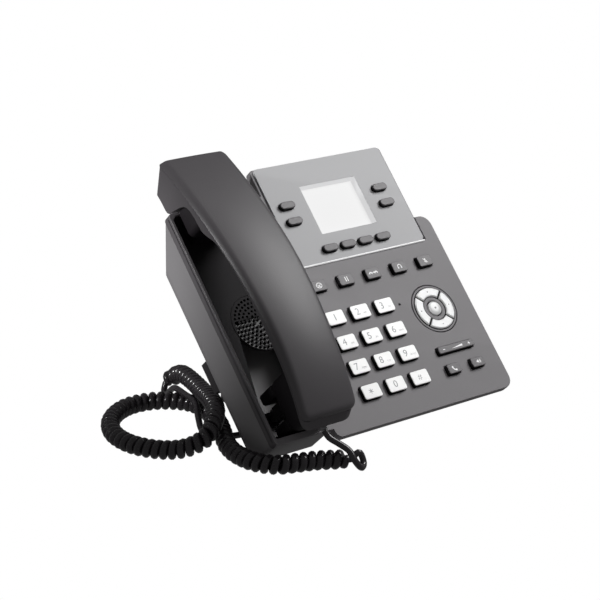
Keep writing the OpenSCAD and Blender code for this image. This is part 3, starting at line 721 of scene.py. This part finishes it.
def lower_edge(v):
    """The point of the handset's lower edge that belongs to a place on the seam."""
    r = LOWER_EDGE
    i = next((k for k in range(len(r) - 1) if r[k][0] >= v >= r[k + 1][0]), len(r) - 2 if v < 20 else 0)
    t = (r[i][0] - v) / (r[i][0] - r[i + 1][0])
    t = min(1, max(0, t))
    a, b, c, d = (Vector(r[max(0, min(len(r) - 1, j))][1:]) for j in (i - 1, i, i + 1, i + 2))
    p = 0.5 * (2 * b + (c - a) * t + (2 * a - 5 * b + 4 * c - d) * t * t + (3 * b - a - 3 * c + d) * t ** 3)
    return p.x, p.y


def add_inner_shell():
    s = Shape()
    rings = []
    for t, run, rest in STATIONS:
        v, h = seam(t)
        bv, bh = lower_edge(v)
        length = math.hypot(bv - v, bh - h)
        ev, eh = (bv - v) / length, (bh - h) / length
        w = width_at(t, run, rest) - 0.45
        r, taper = min(1.7 if v < 178 else 0.7, 0.35 * length), min(2.2, 0.2 * length)
        keel = 3 * ease((v - 20) / 30) * ease((165 - v) / 25)
        side = []
        side.append((w - 1.3, 0.0))
        side.append((w - 1.3, 0.3))
        side.append((w, 0.6))
        for k in range(1, 9):
            f = k / 8
            side.append((w - taper * f * (length - r) / length, 0.6 + (length - r - 0.6) * f))
        wb = side[-1][0]
        for k in range(1, 6):
            a = math.pi / 2 * k / 5
            side.append((wb - r + r * math.cos(a), length - r + r * math.sin(a)))
        for k in range(1, 4):
            side.append(((wb - r) * (1 - k / 3), length + keel * ease(k / 2)))
        half = [(-x, d) for x, d in side]
        ring = half + [(x, d) for x, d in reversed(side[:-1])]
        rings.append([(middle(v) + x, v + ev * d, h + eh * d) for x, d in ring])
    n = len(rings[0])
    start = s.rings(rings)
    # the groove along the seam is dark
    s.kinds = [1 if k % n in (0, 1, n - 3, n - 2, n - 1) else 0 for k in range(len(s.faces))]
    s.face([start + k for k in range(n)])
    s.face([start + (len(rings) - 1) * n + k for k in reversed(range(n))])
    # the cups of the ear and the mouth end, near-black: painted shade on the handset's own plastic
    slab(s, [box_loop(-97, 158, -51, 181, 5)], 1.9, 19, top=0.2, bottom=2.4, steps=4, kinds=(1, 1, 1))
    slab(s, [box_loop(-91, 10.5, -56, 48, 7)], 3.9, 24, top=0.2, bottom=2.4, steps=4, kinds=(1, 1, 1))
    turns = [2 * math.pi * k / 5 for k in range(5)]
    ear = [turned(circle(-74 + 5 * math.cos(a), 170.5 + 4 * math.sin(a), 0.9, 12), False) for a in turns]
    slab(s, [circle(-74, 170.5, 8, 32)] + ear, 1.75, 2.2, top=0.1, kinds=(1, 1, 1))
    return s.make("handset_inner", "handset", ["handset_side", "handset_dark"], angle=42)


outer, inner = add_outer_shell(), add_inner_shell()
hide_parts("handset_outer_shell")
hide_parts("handset_inner_shell")


# ---- Keys ----
def glyph(shape, text, size, x, v, h, thin):
    """Printed characters as thin raised shapes, centred on a point."""
    cu = bpy.data.curves.new("glyph", "FONT")
    cu.body, cu.size, cu.align_x, cu.align_y = text, size, "CENTER", "CENTER"
    cu.extrude, cu.resolution_u, cu.offset = 0.03, 3, thin
    ob = bpy.data.objects.new("glyph", cu)
    bpy.context.scene.collection.objects.link(ob)
    me = bpy.data.meshes.new_from_object(ob.evaluated_get(bpy.context.evaluated_depsgraph_get()))
    start = shape.put([(x + p.co.x, v + p.co.y, h + p.co.z) for p in me.vertices])
    for f in me.polygons:
        shape.face([start + k for k in f.vertices], 2)
    bpy.data.objects.remove(ob)
    bpy.data.curves.remove(cu)
    bpy.data.meshes.remove(me)


def printed(shape, loop, h):
    """A printed area, a thin raised plate on the surface at height h."""
    slab(shape, [loop], h - 0.03, h + 0.05, top=0.01, steps=1, kinds=(2, 2, 2))


def stroke(shape, points, width, h):
    """A printed line of even width through points."""
    left, right = [], []
    for i, p in enumerate(points):
        p = Vector(p)
        a = Vector(points[max(i - 1, 0)])
        b = Vector(points[min(i + 1, len(points) - 1)])
        e = (p - a).normalized() if i else (b - p).normalized()
        f = (b - p).normalized() if i < len(points) - 1 else e
        n = Vector((-e.y - f.y, e.x + f.x))
        n = n.normalized() * width / 2 / max(0.5, n.length / 2)
        left.append(tuple(p + n))
        right.append(tuple(p - n))
    printed(shape, left + right[::-1], h)


def dot(shape, x, y, r, h, n=14):
    printed(shape, circle(x, y, r, n), h)


def arc(cx, cy, rx, ry, a0, a1, n=12):
    turns = [math.radians(a0 + (a1 - a0) * k / n) for k in range(n + 1)]
    return [(cx + rx * math.cos(a), cy + ry * math.sin(a)) for a in turns]


def icon_message(s, x, y, h):
    stroke(s, arc(x, y, 2.3, 1.9, 0, 350), 0.55, h)
    stroke(s, [(x - 1.3, y + 0.7), (x, y - 0.2), (x + 1.3, y + 0.7)], 0.5, h)
    stroke(s, [(x - 1.3, y - 0.8), (x + 1.3, y - 0.8)], 0.5, h)


def icon_hold(s, x, y, h):
    for d in (-0.85, 0.85):
        stroke(s, [(x + d, y - 1.8), (x + d, y + 1.8)], 0.7, h)


def icon_transfer(s, x, y, h):
    for d in (-2.4, 2.4):
        stroke(s, arc(x + d, y - 0.5, 1.15, 1.1, 15, 165, 6), 0.85, h)
        for e in (-1, 1):
            dot(s, x + d + e, y - 0.3, 0.55, h, n=8)
    stroke(s, [(x - 0.8, y + 0.2), (x + 0.8, y + 0.2)], 0.5, h)
    stroke(s, [(x + 0.35, y + 0.7), (x + 0.9, y + 0.2), (x + 0.35, y - 0.3)], 0.45, h)


def icon_headset(s, x, y, h):
    stroke(s, arc(x, y - 0.2, 1.5, 1.9, -20, 200, 14), 0.6, h)
    for d in (-1.4, 1.4):
        stroke(s, [(x + d, y - 1.5), (x + d, y - 0.2)], 1.0, h)


def icon_mute(s, x, y, h):
    stroke(s, [(x, y - 0.3), (x, y + 1.6)], 1.0, h)
    stroke(s, [(x, y - 2), (x, y - 1.2)], 0.4, h)
    stroke(s, arc(x, y + 0.1, 1.2, 1.3, 200, 340, 8), 0.5, h)
    stroke(s, [(x - 1.6, y + 1.6), (x + 1.6, y - 1.8)], 0.45, h)


def icon_phone(s, x, y, h):
    stroke(s, arc(x + 1.5, y + 1.5, 3.2, 3.2, 190, 260, 8), 0.95, h)
    for a in (math.radians(190), math.radians(260)):
        dot(s, x + 1.5 + 3.05 * math.cos(a), y + 1.5 + 3.05 * math.sin(a), 0.75, h, n=10)


def icon_speaker(s, x, y, h):
    stroke(s, [(x - 1.5, y), (x - 0.6, y)], 1.2, h)
    printed(s, [(x - 0.7, y - 0.5), (x + 0.4, y - 1.5), (x + 0.4, y + 1.5), (x - 0.7, y + 0.5)], h)
    for r in (1.0, 1.8):
        stroke(s, arc(x + 0.4, y, r, r, -50, 50, 6), 0.45, h)


def key(node, loops, top, mats, bevel=0.4, prints=None):
    """A key cap whose skirt ends above the floor of its well, so that it can be pressed."""
    s = Shape()
    slab(s, loops, SKIRT, top, top=bevel, steps=4, kinds=(0, 1, 1))
    if prints:
        prints(s)
    ob = s.make("cap_" + node, node, mats)
    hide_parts(node)


LETTERS = ["", "ABC", "DEF", "GHI", "JKL", "MNO", "PQRS", "TUV", "WXYZ", "", "", ""]
MARKS = ["1", "2", "3", "4", "5", "6", "7", "8", "9", "*", "0", "#"]
NAMES = ["1", "2", "3", "4", "5", "6", "7", "8", "9", "star", "0", "pound"]
WHITE = ["key_white", "key_side", "print_pale"]
GREY = ["key_grey", "key_side", "print_white_painted_glow"]
SILVER = ["key_silver", "key_side", "print_grey"]
for i, (x, y) in enumerate(DIGITS):
    def digit(s, x=x, y=y, i=i):
        shift = -2.8 if LETTERS[i] else -0.8
        if MARKS[i] == "*":
            for a in (30, 90, 150):
                c, d = 1.9 * math.cos(math.radians(a)), 1.9 * math.sin(math.radians(a))
                stroke(s, [(x + shift - c, y - d), (x + shift + c, y + d)], 0.42, KEY_TOP)
        else:
            glyph(s, MARKS[i], 7.2 if MARKS[i] != "#" else 6, x + shift, y, KEY_TOP + 0.03, thin=-0.05)
        if LETTERS[i]:
            glyph(s, LETTERS[i], 1.7, x + 3.2, y - 1.6, KEY_TOP + 0.03, thin=-0.03)
    key("key_" + NAMES[i], [round_box(x, y, 14.9, 10, 1.5)], KEY_TOP, WHITE, prints=digit)
for (x, y), node, icon in zip(FUNCTIONS, ("message", "hold", "transfer", "headset", "mute"),
                              (icon_message, icon_hold, icon_transfer, icon_headset, icon_mute)):
    key("key_" + node, [round_box(x, y, 12.4, 8, 1.2)], KEY_TOP, GREY,
        prints=lambda s, x=x, y=y, icon=icon: icon(s, x, y, KEY_TOP))
for (x, y), node in zip(PILLS, [kind + "_key_%d" % k for kind in ("line", "soft") for k in (1, 2, 3, 4)]):
    key(node, [pill(x, y, 12.5, 5.4)], 4.0, ["key_pill", "key_side"], bevel=0.5)
for node, turn in (("nav_up", 90), ("nav_left", 180), ("nav_down", 270), ("nav_right", 0)):
    a = math.radians(turn)
    key(node, [sector(9.3, 16.1, a, 0.55)], 1.25, SILVER, bevel=0.9,
        prints=lambda s, a=a: dot(s, NAV[0] + 12.8 * math.cos(a), NAV[1] + 12.8 * math.sin(a), 0.45, 1.25))


def add_ok():
    s = Shape()
    profile = ((5.3, SKIRT), (5.3, 0.5), (5.15, 0.95), (4.6, 1.25), (3.4, 1.45), (1.6, 1.52))
    rings = [[(x, y, h) for x, y in circle(*NAV, r, 48)] for r, h in profile]
    start = s.rings(rings)
    s.face([start + 5 * 48 + k for k in range(48)])
    s.face([start + k for k in reversed(range(48))], 1)
    dot(s, *NAV, 0.75, 1.53)
    ob = s.make("cap_nav_ok", "nav_ok", SILVER)
    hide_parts("nav_ok")


def add_rocker():
    s = Shape()
    slab(s, [round_box(*ROCKER, 32.5, 5, 1.1)], SKIRT, 2.7, top=0.5, steps=4, kinds=(0, 1, 1))
    x, y = ROCKER
    stroke(s, [(x - 12.6, y), (x - 10.6, y)], 0.5, 2.7)
    stroke(s, [(x + 10.6, y), (x + 12.8, y)], 0.5, 2.7)
    stroke(s, [(x + 11.7, y - 1.1), (x + 11.7, y + 1.1)], 0.5, 2.7)
    printed(s, [(x - 4.5, y - 0.7), (x + 5.5, y - 0.7), (x + 5.5, y + 0.9)], 2.7)
    ob = s.make("cap_volume", "volume_rocker", GREY)
    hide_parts("volume_rocker")


add_ok()
add_rocker()
for node, spot, icon in (("key_send", SEND, icon_phone), ("key_speaker", SPEAKER, icon_speaker)):
    key(node, [round_box(*spot, 11.5, 7, 1.1)], KEY_TOP, GREY,
        prints=lambda s, spot=spot, icon=icon: icon(s, *spot, KEY_TOP))


# ---- CAD pieces that show as they are ----
OWN_LOOK = {
    "main_board": "board_green", "keypad_mat": "mat_rubber", "loudspeaker": "socket_black",
    "socket_panel": "base_grey", "network_jacks": "socket_metal", "modular_jacks": "socket_black",
    "power_jack": "socket_black", "rubber_feet": "rubber", "housing_screws": "steel", "stand": "stand_grey",
    "base_plug": "plug_clear", "hook_switch": "handset_dark", "receiver_capsule": "socket_black",
    "handset_microphone": "steel", "ballast_weight": "steel", "handset_jack": "socket_black",
    "handset_screws": "steel", "handset_plug": "plug_clear"}
for node, mat in OWN_LOOK.items():
    nodes[node].data.materials.clear()
    nodes[node].data.materials.append(MAT[mat])


# ---- Floor and light ----
def add_stage():
    """A plain white room that only the camera sees, so that the lights alone shade the phone."""
    w, top = 30, 20
    corners = [(x, y, z) for z in (0, top) for x, y in ((-w, -w), (w, -w), (w, w), (-w, w))]
    me = bpy.data.meshes.new("room")
    sides = [(0, 1, 2, 3), (4, 7, 6, 5), (0, 4, 5, 1), (1, 5, 6, 2), (2, 6, 7, 3), (3, 7, 4, 0)]
    me.from_pydata(corners, [], sides)
    mat = bpy.data.materials.new("room")
    mat.use_nodes = True
    bsdf = mat.node_tree.nodes["Principled BSDF"]
    bsdf.inputs["Base Color"].default_value = (0, 0, 0, 1)
    bsdf.inputs["Specular IOR Level"].default_value = 0
    bsdf.inputs["Emission Color"].default_value = (1, 1, 1, 1)
    bsdf.inputs["Emission Strength"].default_value = 1
    me.materials.append(mat)
    ob = bpy.data.objects.new("room", me)
    bpy.context.scene.collection.objects.link(ob)
    ob.visible_diffuse = ob.visible_glossy = ob.visible_transmission = ob.visible_shadow = False
    world = bpy.data.worlds.new("studio")
    world.use_nodes = True
    world.node_tree.nodes["Background"].inputs["Color"].default_value = (1, 1, 1, 1)
    world.node_tree.nodes["Background"].inputs["Strength"].default_value = 0.15
    bpy.context.scene.world = world


def add_light(name, kind, spot, target, power):
    data = bpy.data.lights.new(name, kind)
    data.energy = power
    if kind == "AREA":
        data.size = 0.7
    else:
        data.spot_size, data.spot_blend, data.shadow_soft_size = math.radians(11), 0.4, 0.05
    ob = bpy.data.objects.new(name, data)
    ob.location = spot
    ob.rotation_euler = (Vector(target) - Vector(spot)).to_track_quat("-Z", "Y").to_euler()
    bpy.context.scene.collection.objects.link(ob)


add_stage()
add_light("right", "AREA", (0.95, -0.35, 1.2), (0.02, 0.0, 0.1), 13.9)
add_light("left", "SPOT", (-0.95, 0.25, 0.5), (-0.104, 0.085, 0.11), 38)
bpy.context.scene.view_settings.view_transform = "Standard"
